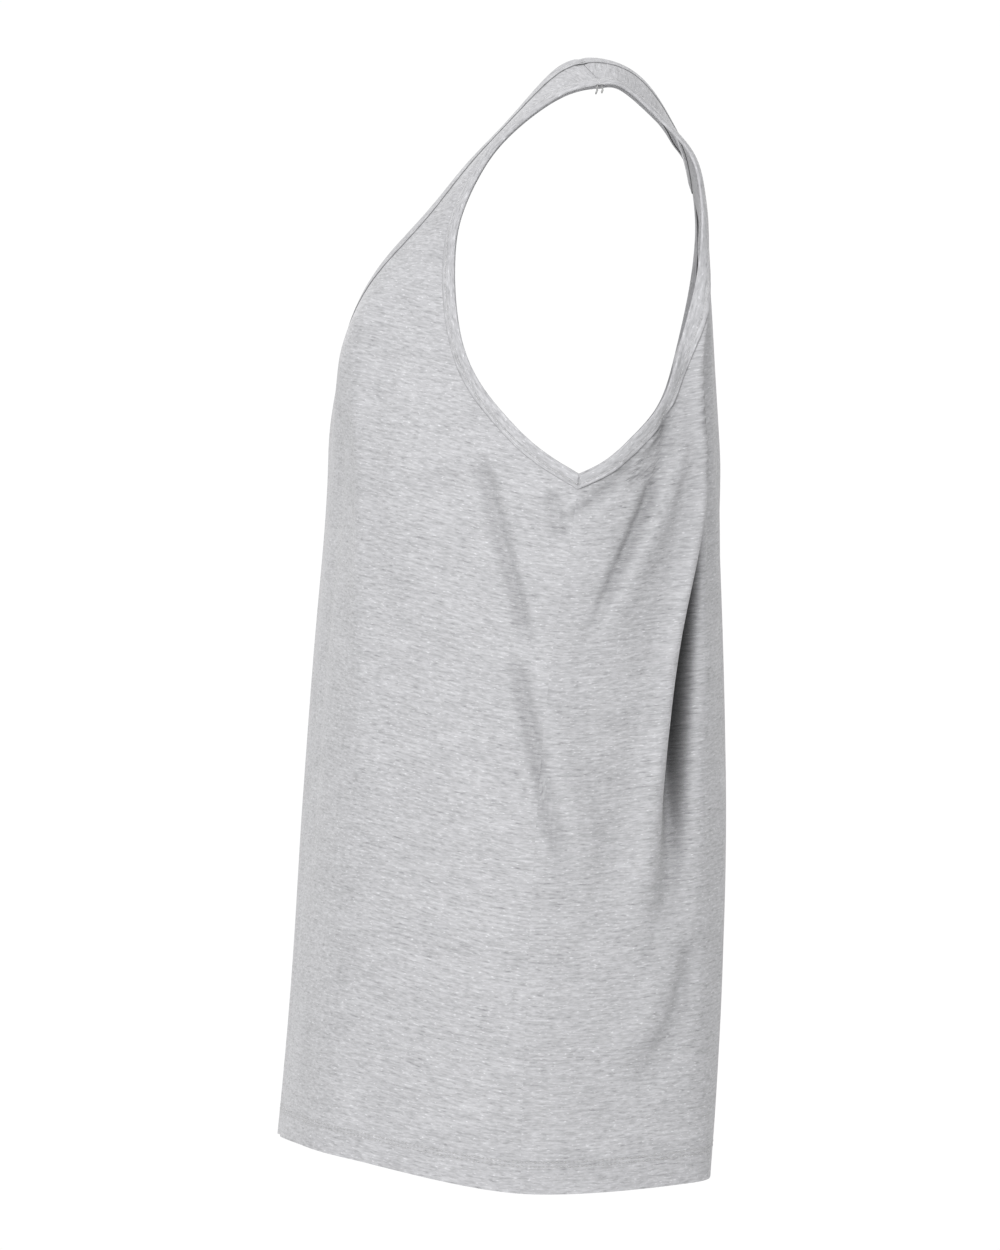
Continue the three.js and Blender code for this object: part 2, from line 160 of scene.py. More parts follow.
def spline(xs, ys):
    """A natural cubic spline through (xs, ys), as a function of an array."""
    xs, ys = np.asarray(xs, float), np.asarray(ys, float)
    h = np.diff(xs)
    slope = np.diff(ys) / h
    n = len(xs)
    left, right = np.eye(n), np.zeros(n)
    for i in range(1, n - 1):
        left[i, i - 1:i + 2] = h[i - 1], 2 * (h[i - 1] + h[i]), h[i]
        right[i] = 6 * (slope[i] - slope[i - 1])
    bend = np.linalg.solve(left, right)

    def at(x):
        x = np.asarray(x, float)
        k = np.clip(np.searchsorted(xs, x, side="left") - 1, 0, n - 2)
        a, b = (xs[k + 1] - x) / h[k], (x - xs[k]) / h[k]
        curve = ((a ** 3 - a) * bend[k] + (b ** 3 - b) * bend[k + 1]) * h[k] ** 2 / 6
        return a * ys[k] + b * ys[k + 1] + curve

    return at


LEVEL = np.concatenate([FRONT[:, 0], 2 - BACK[:, 0]])
ROWS = np.concatenate([FRONT, BACK])
CENTRE_LINE = [lambda t: 0 * t] + [spline(LEVEL, ROWS[:, i]) for i in (1, 2)]
NECK_LINE = [spline(LEVEL, ROWS[:, i]) for i in (3, 4, 5)]
TIP_LINE = [spline(LEVEL, ROWS[:, i]) for i in (6, 7, 8)]
SIDE_LINE = [spline(SIDE[:, 0], SIDE[:, i]) for i in (1, 2, 3)]
arm_front = spline(ARMHOLE_FRONT[:, 0], ARMHOLE_FRONT[:, 1])
arm_back = spline(ARMHOLE_BACK[:, 0], ARMHOLE_BACK[:, 1])


def line(columns, t):
    return np.stack([column(t) for column in columns], -1)


def settle(ring, rise):
    """The same place with its rise up to 1 and its ring between -2 and 2."""
    over = rise > 1
    sign = np.where(ring < 0, -1, 1)
    ring = np.where(over, sign * (2 - np.abs(ring)), ring)
    rise = np.where(over, 2 - rise, rise)
    return (ring + 2) % 4 - 2, rise


def smooth(ring, rise):
    """Points of the unfolded surface: a cubic runs round it through the four lines of each panel."""
    ring, rise = settle(np.asarray(ring, float), np.asarray(rise, float))
    r = np.abs(ring)
    t = np.where(r > 1, 2 - rise, rise)
    across = np.where(r > 1, 2 - r, r) * 3
    neck, tip = line(NECK_LINE, t), line(TIP_LINE, t)
    beyond_centre, beyond_side = neck * (-1, 1, 1), line(TIP_LINE, 2 - t)
    points = np.stack([beyond_centre, line(CENTRE_LINE, t), neck, tip, line(SIDE_LINE, rise), beyond_side])
    k = np.clip(np.floor(across).astype(int), 0, 2)
    f = across - k
    weights = (-f + 2 * f**2 - f**3, 2 - 5 * f**2 + 3 * f**3, f + 4 * f**2 - 3 * f**3, f**3 - f**2)
    out = sum(
        w[..., None] / 2 * np.take_along_axis(points, (k + i)[None, ..., None], 0)[0]
        for i, w in enumerate(weights)
    )
    drop = RIGHT_DROP * ease((DROP_TOP - rise) / DROP_SPAN) * out[..., 0] / SIDE[0, 1]
    out[..., 2] -= np.where(ring < 0, drop, 0)
    out[..., 0] *= np.where(ring < 0, -1, 1)
    return out


def unit(v):
    return v / np.linalg.norm(v, axis=-1, keepdims=True)


STEP = 0.002  # how far apart, in ring and rise, a surface is sampled for its slopes


def normal_of(surface, ring, rise):
    across = surface(ring + STEP, rise) - surface(ring - STEP, rise)
    up = surface(ring, rise + STEP) - surface(ring, rise - STEP)
    return unit(np.cross(across, up))


def ease(x):
    x = np.clip(x, 0, 1)
    return x * x * (3 - 2 * x)


def fold_lines():
    lines = []
    u = np.linspace(0, 1, FOLD_STEPS + 1)[:, None]
    for *places, height, width in FOLDS:
        a, b, c = np.array(places).reshape(3, 2) * (RING_LENGTH, RISE_LENGTH)
        lines.append(((1 - u) ** 2 * a + 2 * u * (1 - u) * b + u**2 * c, height, width))
    return lines


FOLD_LINES = fold_lines()
REACH = 3.2  # widths past which a fold is flat


def fold_height(ring, rise):
    """How far the folds move the cloth out."""
    here = np.stack([ring * RING_LENGTH, rise * RISE_LENGTH], -1)
    total = np.zeros(ring.shape)
    for points, height, width in FOLD_LINES:
        low, high = points.min(0) - REACH * width, points.max(0) + REACH * width
        near = np.all((here > low) & (here < high), axis=-1)
        if not near.any():
            continue
        p = here[near][:, None]
        run = np.diff(points, axis=0)
        part = np.clip(((p - points[:-1]) * run).sum(-1) / (run**2).sum(-1), 0, 1)
        gap = np.linalg.norm(p - points[:-1] - part[..., None] * run, axis=-1)
        i = gap.argmin(1)
        rows = np.arange(len(i))
        where = (i + part[rows, i]) / FOLD_STEPS
        ends = ease(where / FOLD_START) * ease((1 - where) / FOLD_FADE)
        total[near] += height * ends * np.exp(-((gap[rows, i] / width) ** 2))
    return total - SEAM_DIP * np.exp(-(((1 - rise) * RISE_LENGTH / SEAM_WIDTH) ** 2))


def folded(ring, rise):
    r, v = settle(np.asarray(ring, float), np.asarray(rise, float))
    return smooth(ring, rise) + normal_of(smooth, ring, rise) * fold_height(r, v)[..., None]


def lifted(ring, rise, out):
    return folded(ring, rise) + normal_of(folded, ring, rise) * np.asarray(out, float)[..., None]


def neck_cut(lowest, rise):
    drop = np.clip((1 - rise) / (1 - lowest), 0, 1)
    return NECK_RING * (1 - drop**NECK_DROP_POWER) ** (1 / NECK_SPREAD_POWER)


# Meshes

def mesh_object(name, points, faces, uv=None, material=None, sharp=None):
    """A smooth mesh from points in millimetres. "sharp" holds the pairs of points on its hard edges."""
    mesh = bpy.data.meshes.new(name)
    mesh.from_pydata((np.asarray(points) * MM).tolist(), [], [tuple(f) for f in faces])
    mesh.polygons.foreach_set("use_smooth", np.ones(len(mesh.polygons), bool))
    if sharp is not None:
        ends = np.zeros(2 * len(mesh.edges), np.int32)
        mesh.edges.foreach_get("vertices", ends)
        number = lambda pairs: np.sort(pairs, axis=1) @ (len(points), 1)
        hard = np.isin(number(ends.reshape(-1, 2)), number(sharp))
        mesh.attributes.new("sharp_edge", "BOOLEAN", "EDGE").data.foreach_set("value", hard)
    if uv is not None:
        layer = mesh.uv_layers.new(name="cloth")
        loops = np.zeros(len(mesh.loops), np.int32)
        mesh.loops.foreach_get("vertex_index", loops)
        layer.data.foreach_set("uv", (np.asarray(uv)[loops] * MM).ravel())
    if material is not None:
        mesh.materials.append(material)
    mesh.validate()
    piece = bpy.data.objects.new(name, mesh)
    bpy.context.scene.collection.objects.link(piece)
    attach(piece, "root")
    return piece


BODY_ROWS, CHEST_ROWS, NECK_ROWS, COLUMNS = 136, 26, 50, 100
# Where the columns stand closest together, as a share of the way from the centre to the side seam,
# and how much closer they stand there.
CLOSEST_FRONT, CLOSEST_BACK, CLOSING = 0.85, 0.68, 0.4
HEM_SPLITS = 4  # rows of faces in the hem
HEM_LEDGE = 0.002  # the rise over which the hem thins to one layer
CHEST_POWER, NECK_POWER = 1.25, 1.6  # above 1, rows stand closer at the bottom of their stretch


def panel_rises(lowest):
    hem = HEM_DEPTH / RISE_LENGTH
    doubled = hem * np.linspace(0, 1, HEM_SPLITS + 1)
    body = np.linspace(hem + HEM_LEDGE, UNDERARM, BODY_ROWS)
    chest = UNDERARM + (lowest - UNDERARM) * np.linspace(0, 1, CHEST_ROWS + 1)[1:] ** CHEST_POWER
    neck = lowest + (1 - lowest) * np.linspace(0, 1, NECK_ROWS + 1)[1:] ** NECK_POWER
    return np.concatenate([doubled, body, chest, neck])


BACK_CLOTH = 3000  # sets the back's yarn pattern apart from the front's
MEASURES = 120  # steps along each coordinate in which the cloth is measured


def cloth_coordinates(ring, rise, back):
    """How far along the knit's rows and up its columns each place lies, in millimetres."""
    shares = np.linspace(0, 1, MEASURES + 1)
    places = smooth(*np.meshgrid(2 * shares, shares, indexing="ij"))
    none = np.zeros((1, MEASURES + 1))
    round_it = np.concatenate([none, np.cumsum(np.linalg.norm(np.diff(places, axis=0), axis=-1), 0)])
    up_it = np.concatenate([none.T, np.cumsum(np.linalg.norm(np.diff(places, axis=1), axis=-1), 1)], 1)
    if back:
        round_it -= round_it[-1]
    r, t = np.clip(np.abs(ring), 0, 2) * MEASURES / 2, np.clip(rise, 0, 1) * MEASURES
    i, j = np.clip(r.astype(int), 0, MEASURES - 1), np.clip(t.astype(int), 0, MEASURES - 1)
    a, b = r - i, t - j

    def between(grid):
        low = (1 - a) * grid[i, j] + a * grid[i + 1, j]
        high = (1 - a) * grid[i, j + 1] + a * grid[i + 1, j + 1]
        return (1 - b) * low + b * high

    sideways = between(round_it) * np.where(ring < 0, -1, 1) + back * BACK_CLOTH
    return np.stack([sideways, between(up_it)], -1)


def panel(name, lowest, cut, back, material):
    """One panel: a closed thin shell with its hem doubled, from the folded surface."""
    rises = panel_rises(lowest)
    even = np.linspace(0, 1, COLUMNS + 1)
    turns = 2 * math.pi * (even - (CLOSEST_BACK if back else CLOSEST_FRONT))
    shares = even - CLOSING / (2 * math.pi) * np.sin(turns)
    shares -= shares[0]
    inner = np.where(rises > lowest, neck_cut(lowest, rises), 0)[:, None]
    outer = np.where(rises > UNDERARM, cut(rises), 1)[:, None]
    across = shares + inner * (1 - shares) ** 2 - (1 - outer) * shares**2
    ring = 2 - across if back else across
    rise = np.broadcast_to(np.minimum(rises, 1 - SEAM_GAP / 2 / RISE_LENGTH)[:, None], ring.shape)
    in_hem = rises < HEM_DEPTH / RISE_LENGTH + HEM_LEDGE / 2
    thick = np.broadcast_to((CLOTH + HEM_EXTRA * in_hem)[:, None], ring.shape)
    split = (rises > lowest)[:, None] & (np.arange(COLUMNS + 1) == 0)

    # Both halves share their points on the centre line, up to where the neck splits them.
    index = np.arange(ring.size).reshape(ring.shape)
    mirrored = index + ring.size
    keep = np.ones(2 * ring.size, bool)
    shared = (np.arange(COLUMNS + 1) == 0) & ~split
    mirrored = np.where(shared, index, mirrored)
    keep[(index + ring.size)[np.broadcast_to(shared, ring.shape)]] = False
    rings = np.concatenate([ring.ravel(), -ring.ravel()])
    rises_all = np.tile(rise.ravel(), 2)
    renumber = np.cumsum(keep) - 1
    rings, rises_all, thick_all = rings[keep], rises_all[keep], np.tile(thick.ravel(), 2)[keep]
    index, mirrored = renumber[index], renumber[mirrored]
    face = lifted(rings, rises_all, np.zeros(len(rings)))
    inside = lifted(rings, rises_all, -thick_all)

    def quads(grid, flip):
        q = np.stack([grid[:-1, :-1], grid[:-1, 1:], grid[1:, 1:], grid[1:, :-1]], -1).reshape(-1, 4)
        return q[:, ::-1] if flip else q

    # The rim is made of the edges that only one face has.
    outside = np.concatenate([quads(index, back), quads(mirrored, not back)])
    edges = np.concatenate([outside[:, [i, (i + 1) % 4]] for i in range(4)])
    code = edges[:, 0].astype(np.int64) * (1 << 32) + edges[:, 1]
    reverse = edges[:, 1].astype(np.int64) * (1 << 32) + edges[:, 0]
    rim = edges[~np.isin(code, reverse)]
    n = len(rings)
    faces = np.concatenate([
        outside, outside[:, ::-1] + n,
        np.stack([rim[:, 1], rim[:, 0], rim[:, 0] + n, rim[:, 1] + n], -1),
    ])
    uv = cloth_coordinates(rings, rises_all, back)
    points, sharp = np.concatenate([face, inside]), np.concatenate([rim, rim + n])
    return mesh_object(name, points, faces, np.concatenate([uv, uv]), material, sharp)


# Edges: closed loops of (ring, rise) places. Past the shoulder seam the rise goes on above 1, with the
# ring counted as on the front.

def even_loop(ring, rise, spacing):
    """The loop with its places at an even spacing. It starts and ends at the same point."""
    places = smooth(ring, rise)
    length = np.concatenate([[0], np.cumsum(np.linalg.norm(np.diff(places, axis=0), axis=1))])
    count = int(length[-1] / spacing)
    along = np.arange(count) * length[-1] / count
    return np.interp(along, length, ring), np.interp(along, length, rise), along


# How many places trace each loop before it is spaced out, and how close they stand at its lowest point.
NECK_PLACES, NECK_CLOSENESS = 400, 1.8
ARMHOLE_PLACES, ARMHOLE_CLOSENESS = 500, 1.4


def neck_loop(spacing):
    share = np.linspace(0, 1, NECK_PLACES) ** NECK_CLOSENESS
    front_rise = FRONT_NECK + (1 - FRONT_NECK) * share
    back_rise = BACK_NECK + (1 - BACK_NECK) * share
    back_ring = neck_cut(BACK_NECK, back_rise)[::-1][1:]
    ring = np.concatenate([neck_cut(FRONT_NECK, front_rise), back_ring])
    rise = np.concatenate([front_rise, 2 - back_rise[::-1][1:]])
    return even_loop(np.append(ring, -ring[::-1][1:]), np.append(rise, rise[::-1][1:]), spacing)


def armhole_loop(spacing, sign):
    rise = UNDERARM + (1 - UNDERARM) * np.linspace(0, 1, ARMHOLE_PLACES) ** ARMHOLE_CLOSENESS
    ring = np.concatenate([arm_front(rise), arm_back(rise[::-1])[1:]])
    return even_loop(sign * ring, np.concatenate([rise, 2 - rise[::-1][1:]]), spacing)


class Edge:
    """A panel edge as places, with a way to reach any depth past it and height off the cloth."""

    def __init__(self, ring, rise, along, inward, full, join):
        self.ring, self.rise, self.along, self.full, self.join = ring, rise, along, full, join
        self.length = along[-1] + along[1]
        places = smooth(ring, rise)
        before = unit(places - np.roll(places, 1, 0))
        after = unit(np.roll(places, -1, 0) - places)
        mitre = np.sqrt(2 / (1 + (before * after).sum(-1)))
        self.run = unit(before + after)
        away = unit(np.cross(normal_of(smooth, ring, rise), self.run)) * -inward
        across = (smooth(ring + STEP, rise) - smooth(ring - STEP, rise)) / (2 * STEP)
        up = (smooth(ring, rise + STEP) - smooth(ring, rise - STEP)) / (2 * STEP)
        dot = lambda a, b: (a * b).sum(-1)
        det = dot(across, across) * dot(up, up) - dot(across, up) ** 2
        d_ring = (dot(away, across) * dot(up, up) - dot(away, up) * dot(across, up)) / det * mitre
        d_rise = (dot(away, up) * dot(across, across) - dot(away, across) * dot(across, up)) / det * mitre
        far = smooth(ring + d_ring * BINDING_WIDTH, rise + d_rise * BINDING_WIDTH)
        stretch = np.linalg.norm(far - places, axis=-1) / (BINDING_WIDTH * mitre)
        self.d_ring, self.d_rise, self.inward = d_ring / stretch, d_rise / stretch, inward

    def at(self, depth, out):
        out = np.broadcast_to(out, self.ring.shape)
        return lifted(self.ring + self.d_ring * depth, self.rise + self.d_rise * depth, out)


# How a binding's section goes round: depth past the seam, and height off the cloth's middle. Its seam
# stands full and clear round the neck and the back of each armhole, and lies flatter elsewhere.
BINDING_SECTION = [
    (-1.0, 0.50), (-0.9, 0.92), (-0.3, 1.10), (0.8, 1.14), (1.5, 1.02), (1.9, 0.98), (2.3, 1.03),
    (3.2, 1.18), (5.0, 1.20), (6.6, 1.16), (7.7, 1.02), (8.25, 0.75), (8.45, 0.4), (8.5, 0.0),
]
SEAM_FLAT = 0.62  # the share of its height that a flat seam keeps
FLAT_DEPTH = 3.5  # how far past the seam that flatness reaches
FULL_RISE, FULL_SPAN = 0.96, 0.1  # the rise where a seam starts to stand up, and over how much
STITCH_DEPTH = 1.9
JOIN_DIP, JOIN_WIDTH, JOIN_DEPTH = 0.35, 0.8, 0.8
PUCKER, PUCKER_DEPTH, PUCKER_WIDTH = 0.05, 2.6, 1.6
PUCKER_WAVES = [(7.3, 1, 0), (4.1, 0.6, 1)]  # length, share and start


def seam_height(edge, depth, half):
    """The half thickness, flatter near the seam on an armhole's front."""
    if edge.full:
        return half
    kept = SEAM_FLAT + (1 - SEAM_FLAT) * ease((edge.rise - FULL_RISE) / FULL_SPAN)
    nearness = ease((FLAT_DEPTH - depth) / FLAT_DEPTH)
    return half * (1 - nearness * (1 - kept))


def binding(name, edge, material):
    """A folded strip round an edge: a rounded section, a little puckered along its stitches."""
    outer = np.array(BINDING_SECTION)
    section = np.concatenate([outer, (outer * (1, -1))[::-1][1:]])
    turns = edge.along * 2 * math.pi
    waver = sum(share * np.sin(turns / wave + start) for wave, share, start in PUCKER_WAVES)
    from_join = np.abs(edge.along - edge.join)
    from_join = np.minimum(from_join, edge.length - from_join)
    join = JOIN_DIP * np.exp(-((from_join / JOIN_WIDTH) ** 2))
    rings = []
    for depth, half in section:
        pucker = PUCKER * waver * np.exp(-(((depth - PUCKER_DEPTH) / PUCKER_WIDTH) ** 2))
        pucker = pucker - join * ease(depth / JOIN_DEPTH)
        rings.append(edge.at(depth, seam_height(edge, depth, half) + pucker * np.sign(half) - CLOTH / 2))
    points = np.stack(rings, 1)
    count, around = points.shape[:2]
    i, j = np.meshgrid(np.arange(count), np.arange(around), indexing="ij")
    corner = lambda a, b: ((i + a) % count) * around + (j + b) % around
    faces = np.stack([corner(0, 0), corner(1, 0), corner(1, 1), corner(0, 1)], -1).reshape(-1, 4)
    if edge.inward < 0:
        faces = faces[:, ::-1]
    travelled = np.concatenate([[0], np.cumsum(np.linalg.norm(np.diff(section, axis=0), axis=1))])
    uv = np.stack(np.broadcast_arrays(edge.along[:, None], travelled[None]), -1).reshape(-1, 2)
    return mesh_object(name, points.reshape(-1, 3), faces, uv, material)


RIBBON_CORNERS = (0, 1, 6, 7)  # where a strip's four corners lie across its yarn pattern


def ribbon(name, first, second, low, high, material):
    """A flat closed strip between two lines of (ring, rise) places and two heights off the cloth."""
    ends = [(edge, out) for edge in (first, second) for out in (low, high)]
    lines = [lifted(*edge, np.full(len(edge[0]), out)) for edge, out in ends]
    points = np.stack([lines[0], lines[1], lines[3], lines[2]], 1)
    count = len(points)
    faces = [
        (i * 4 + j, i * 4 + (j + 1) % 4, i * 4 + 4 + (j + 1) % 4, i * 4 + 4 + j)
        for i in range(count - 1) for j in range(4)
    ]
    faces += [(3, 2, 1, 0), tuple(range(count * 4 - 4, count * 4))]
    along = np.concatenate([[0], np.cumsum(np.linalg.norm(np.diff(lines[0], axis=0), axis=1))])
    uv = np.stack(np.broadcast_arrays(along[:, None], [RIBBON_CORNERS]), -1).reshape(-1, 2)
    return mesh_object(name, points.reshape(-1, 3), faces, uv, material)


# Stitches: many short threads in one mesh

STITCH_SIDES = 6
STITCH_PROFILE = [  # share of the length, share of the radius, lift in radii
    (-0.5, 0.25, -0.6), (-0.3, 0.9, 0.1), (0.0, 1.0, 0.35), (0.3, 0.9, 0.1), (0.5, 0.25, -0.6),
]


def tube(path, sideways, upright, radii, material, name):
    """Closed round tubes. "path" is (tubes, rings, 3), and the sections stand across it."""
    angles = np.arange(STITCH_SIDES) * 2 * math.pi / STITCH_SIDES
    radii = np.asarray(radii)[None, :, None, None]
    sideways, upright = sideways[..., None, :], upright[..., None, :]
    spread = sideways * np.cos(angles)[:, None] + upright * np.sin(angles)[:, None]
    points = path[:, :, None] + spread * radii
    tubes, rings, sides = points.shape[:3]
    t, k, a = np.meshgrid(np.arange(tubes), np.arange(rings - 1), np.arange(sides), indexing="ij")
    at = lambda step, turn: (t * rings + k + step) * sides + (a + turn) % sides
    quads = np.stack([at(0, 0), at(0, 1), at(1, 1), at(1, 0)], -1).reshape(-1, 4)
    ends = np.arange(tubes)[:, None] * rings * sides
    caps = [*(ends + np.arange(sides)[::-1]), *(ends + (rings - 1) * sides + np.arange(sides))]
    faces = [*quads.tolist(), *map(tuple, caps)]
    return mesh_object(name, points.reshape(-1, 3), faces, None, material)


def stitches(name, rows, length, radius, material):
    """A thread stitch at each middle, lying along its run and bedded in the cloth."""
    middles, runs, normals = (np.concatenate(part)[:, None] for part in zip(*rows))
    along, wide, lift = (np.array(part)[None, :, None] for part in zip(*STITCH_PROFILE))
    sideways = unit(np.cross(normals, runs))
    upright = unit(np.cross(runs, sideways))
    path = middles + runs * along * length + upright * lift * radius
    full = np.ones((1, len(STITCH_PROFILE), 1))
    return tube(path, sideways * full, upright * full, wide.ravel() * radius, material, name)


RUN_REACH = 0.3  # how far each way along a line a stitch takes its direction from


def stitch_row(points, normals, spacing, closed=True):
    """Middles, runs and normals at an even spacing along a line of points."""
    if closed:
        points = np.concatenate([points, points[:1]])
        normals = np.concatenate([normals, normals[:1]])
    length = np.concatenate([[0], np.cumsum(np.linalg.norm(np.diff(points, axis=0), axis=1))])
    count = int(length[-1] / spacing)
    along = (np.arange(count) + 0.5) * length[-1] / count
    pick = lambda a, s: np.stack([np.interp(s, length, a[:, i]) for i in range(3)], -1)
    runs = unit(pick(points, along + RUN_REACH) - pick(points, along - RUN_REACH))
    return pick(points, along), runs, unit(pick(normals, along))


def row_at(ring, rise, out, spacing, closed=True):
    """A row of stitches along (ring, rise) places, at a height off the cloth."""
    points = lifted(ring, rise, np.full(len(ring), out))
    return stitch_row(points, normal_of(folded, ring, rise) * math.copysign(1, out), spacing, closed)


# Materials

def srgb(value):
    value /= 255
    return ((value + 0.055) / 1.055) ** 2.4 if value > 0.04045 else value / 12.92


def grey(value):
    return (*[srgb(value)] * 3, 1)


JERSEY_LIGHT = (srgb(214), srgb(214), srgb(217), 1)
JERSEY_DARK = (srgb(134), srgb(134), srgb(136), 1)
# Yarn patterns: how fine across and up the cloth, their shift, detail and roughness.
STREAK = (165, 720, 0, 3.0, 0.62)
LONG_STREAK = (45, 420, 5, 2.0, 0.5)
MOTTLE = (22, 50, 9, 2.0, 0.5)
DASH = (150, 950, 13, 2.0, 0.5)
FLECK = (300, 900, 21, 1.0, 0.5)
# Where in each pattern's range the change lies, and how much of the light grey it brings.
NOISE_SPAN, DASH_SPAN, FLECK_SPAN = (0.25, 0.75), (0.57, 0.68), (0.64, 0.73)
STREAK_SHARE, LONG_SHARE, MOTTLE_SHARE = (0.28, 0.78), (-0.13, 0.13), (-0.06, 0.06)
DASH_SHARE, FLECK_SHARE = 0.24, 0.42
FLECK_HEIGHT = 0.6
BUMP = {"Strength": 0.25, "Distance": 0.0004}
JERSEY_SURFACE = {
    "Roughness": 0.92, "Specular IOR Level": 0.2, "Sheen Weight": 0.25, "Sheen Roughness": 0.5,
}
GRAIN_SPAN = (0.3, 0.7)
# Painted shade: the colour made darker between folds and in hollows, from how open each place is within a
# reach in metres.
SHADE_SAMPLES = 10
CREASE_REACH, CREASE_DEPTH, CREASE_FLOOR = 0.021, 3.2, 0.4
HOLLOW_REACH, HOLLOW_SPAN, HOLLOW_FLOOR = 0.07, (0.48, 0.8), 0.2


class Nodes:
    """A material's node tree, with a short call for each kind of node."""

    def __init__(self, name):
        self.material = bpy.data.materials.new(name)
        self.material.use_nodes = True
        self.tree = self.material.node_tree
        self.shader = self.tree.nodes["Principled BSDF"]

    def add(self, kind, inputs=(), **settings):
        node = self.tree.nodes.new(kind)
        for key, value in settings.items():
            setattr(node, key, value)
        for key, value in dict(inputs).items():
            if isinstance(value, bpy.types.NodeSocket):
                self.tree.links.new(value, node.inputs[key])
            else:
                node.inputs[key].default_value = value
        return node.outputs[0]

    def math(self, operation, a, b):
        return self.add("ShaderNodeMath", {0: a, 1: b}, operation=operation)

    def blend(self, kind, share, first, second):
        """A colour mix. The node's colour sockets are its sixth and seventh inputs."""
        self.add("ShaderNodeMix", {0: share, 6: first, 7: second}, data_type="RGBA", blend_type=kind)
        return self.tree.nodes[-1].outputs[2]

    def painted_shade_in_hollows(self, colour):
        """The colour with painted shade, darker where cloth stands close around it."""
        crease_shade = self.math("POWER", self.openness(CREASE_REACH), CREASE_DEPTH)
        crease_shade = self.ramp(crease_shade, 0, 1, CREASE_FLOOR, 1)
        hollow_shade = self.ramp(self.openness(HOLLOW_REACH), *HOLLOW_SPAN, HOLLOW_FLOOR, 1)
        return self.blend("MULTIPLY", 1.0, colour, self.math("MULTIPLY", crease_shade, hollow_shade))

    def openness(self, reach):
        self.add("ShaderNodeAmbientOcclusion", {"Distance": reach}, samples=SHADE_SAMPLES)
        return self.tree.nodes[-1].outputs["AO"]

    def ramp(self, value, low, high, first, last):
        levels = {"Value": value, "From Min": low, "From Max": high, "To Min": first, "To Max": last}
        return self.add("ShaderNodeMapRange", levels)

    def noise(self, vector, across, up, shift, detail, rough):
        start = (shift, 2.3 * shift, shift)
        mapping = {"Vector": vector, "Scale": (across, up, 1), "Location": start}
        place = self.add("ShaderNodeMapping", mapping)
        levels = {"Vector": place, "Scale": 1.0, "Detail": detail, "Roughness": rough}
        return self.add("ShaderNodeTexNoise", levels)


def jersey():
    """Heather jersey: fibres of two greys drawn out along the knit's rows, with darker and white ones."""
    n = Nodes("heather_jersey")
    cloth = n.add("ShaderNodeUVMap", uv_map="cloth")
    streak = n.noise(cloth, *STREAK)
    long_streak = n.noise(cloth, *LONG_STREAK)
    mottle = n.noise(cloth, *MOTTLE)
    dash = n.ramp(n.noise(cloth, *DASH), *DASH_SPAN, 0, 1)
    fleck = n.ramp(n.noise(cloth, *FLECK), *FLECK_SPAN, 0, 1)
    share = n.ramp(streak, *NOISE_SPAN, *STREAK_SHARE)
    share = n.math("ADD", share, n.ramp(long_streak, *NOISE_SPAN, *LONG_SHARE))
    share = n.math("ADD", share, n.ramp(mottle, *NOISE_SPAN, *MOTTLE_SHARE))
    share = n.math("SUBTRACT", share, n.math("MULTIPLY", dash, DASH_SHARE))
    share = n.math("ADD", share, n.math("MULTIPLY", fleck, FLECK_SHARE))
    colour = n.blend("MIX", n.ramp(share, 0, 1, 0, 1), JERSEY_DARK, JERSEY_LIGHT)
    # The base colour carries painted shade in the creases and hollows.
    n.tree.links.new(n.painted_shade_in_hollows(colour), n.shader.inputs["Base Color"])
    height = n.math("ADD", streak, n.math("MULTIPLY", fleck, FLECK_HEIGHT))
    bump = n.add("ShaderNodeBump", {"Height": height, **BUMP})
    n.tree.links.new(bump, n.shader.inputs["Normal"])
    for socket, value in JERSEY_SURFACE.items():
        n.shader.inputs[socket].default_value = value
    return n.material


def plain(name, scale, dark, light, roughness):
    """A surface of one grey with a fine grain, as spun thread or a matt floor has."""
    n = Nodes(name)
    n.add("ShaderNodeTexCoord")
    place = n.tree.nodes[-1].outputs["Object"]
    grain = n.add("ShaderNodeTexNoise", {"Vector": place, "Scale": scale, "Detail": 2.0})
    colour = n.blend("MIX", n.ramp(grain, *GRAIN_SPAN, 0, 1), grey(dark), grey(light))
    n.tree.links.new(colour, n.shader.inputs["Base Color"])
    n.shader.inputs["Roughness"].default_value = roughness
    return n.material


# The garment

cloth = jersey()
yarn = plain("sewing_thread", 900.0, 186, 228, 0.7)
dark_yarn = plain("tail_thread", 900.0, 120, 176, 0.8)

# Each piece of cloth stands for the solid of the same sewn piece.
front = panel("cloth_front", FRONT_NECK, arm_front, False, cloth)
back = panel("cloth_back", BACK_NECK, arm_back, True, cloth)
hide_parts("front")
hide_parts("back")

SECTION_SPACING = 2.2
neck_ring, neck_rise, neck_along = neck_loop(SECTION_SPACING)
shoulder = neck_along[np.argmin(np.abs(neck_rise - 1) + (neck_ring < 0))]
edges = {"binding_neck": Edge(neck_ring, neck_rise, neck_along, -1, True, shoulder)}
for side, sign in (("left", 1), ("right", -1)):
    edges[f"binding_armhole_{side}"] = Edge(*armhole_loop(SECTION_SPACING, sign), sign, False, 0)
nodes = ("neck_binding", "armhole_binding_left", "armhole_binding_right")
for (name, edge), node in zip(edges.items(), nodes):
    binding(name, edge, cloth)
    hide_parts(node)

# Twin rows of stitches round the hem, and one row along each binding's seam.
THREAD_RADIUS = 0.2
HEM_ROWS = (16.4, 19.0)
HEM_PLACES = 480
HEM_SPACING = 2.9
HEM_OUTSIDE, HEM_INSIDE = 0.06, -CLOTH - HEM_EXTRA - 0.05
HEM_STITCH, HEM_STITCH_INSIDE = 2.3, 2.6
BINDING_SPACING, BINDING_STITCH, BINDING_LIFT = 2.6, 2.0, 0.04
SEAM_HALF = 0.98  # the section's half thickness where the stitches lie


